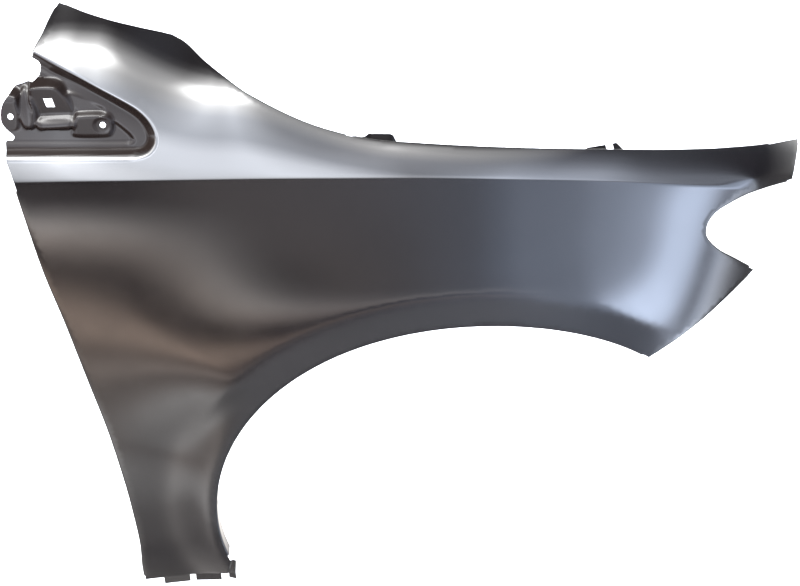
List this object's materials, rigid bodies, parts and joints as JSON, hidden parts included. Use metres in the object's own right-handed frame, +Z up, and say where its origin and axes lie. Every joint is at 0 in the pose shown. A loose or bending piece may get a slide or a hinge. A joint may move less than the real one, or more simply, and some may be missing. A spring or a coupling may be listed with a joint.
{
  "type": "car fender",
  "caption": "Front right car fender pressed from one steel sheet, with a wheel arch, a shoulder crease, a trim recess and folded bolt tabs.",
  "frame": {"origin": "underside of the rear bolt tab of the hood gutter, behind its hole", "axes": "+X to the front of the car, +Y to the middle of the car, +Z up"},
  "size_m": [1.0122, 0.2865, 0.8575],
  "materials": {
    "coated_steel": "satin black primer over pressed steel"
  },
  "bodies": {
    "root": {"fender_panel": "coated_steel"}
  },
  "joints": []
}
